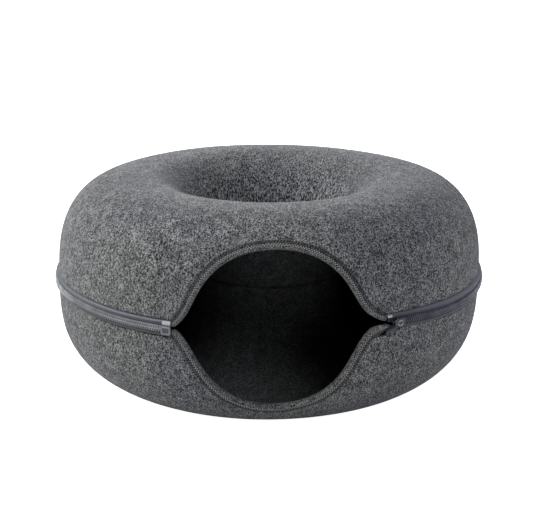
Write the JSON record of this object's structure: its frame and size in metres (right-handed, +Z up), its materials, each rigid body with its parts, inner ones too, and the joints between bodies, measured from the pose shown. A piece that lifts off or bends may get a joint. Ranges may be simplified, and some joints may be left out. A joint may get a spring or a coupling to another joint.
{
  "type": "felt cat cave",
  "caption": "Hollow felt ring round an open well, with an arched entrance in front and a coil zip round the middle, for a cat to walk through or sleep in.",
  "frame": {"origin": "on the floor, under the middle of the object's plan", "axes": "+Z up, along the open well; -Y out of the entrance; +X to the right of someone who looks into the entrance"},
  "size_m": [0.5998, 0.5806, 0.2801],
  "materials": {
    "felt": "mid-grey heather needled felt, matt and slightly hairy",
    "binding_felt": "darker grey felt strip, matt, with two rows of machine stitches",
    "zip_tape_cloth": "bluish grey woven tape, slight sheen",
    "zip_coil": "light grey coil teeth, satin",
    "clear_clip": "cloudy clear plastic",
    "zip_metal": "grey metal, satin"
  },
  "bodies": {
    "root": {"upper_shell": "felt", "lower_shell": "felt", "upper_binding": "binding_felt", "lower_binding": "binding_felt", "upper_zip_tape": "zip_tape_cloth", "lower_zip_tape": "zip_tape_cloth", "zip_chain": "zip_coil", "zip_end_box": "clear_clip", "zip_slider": "zip_metal", "zip_pull": "zip_metal"}
  },
  "joints": []
}
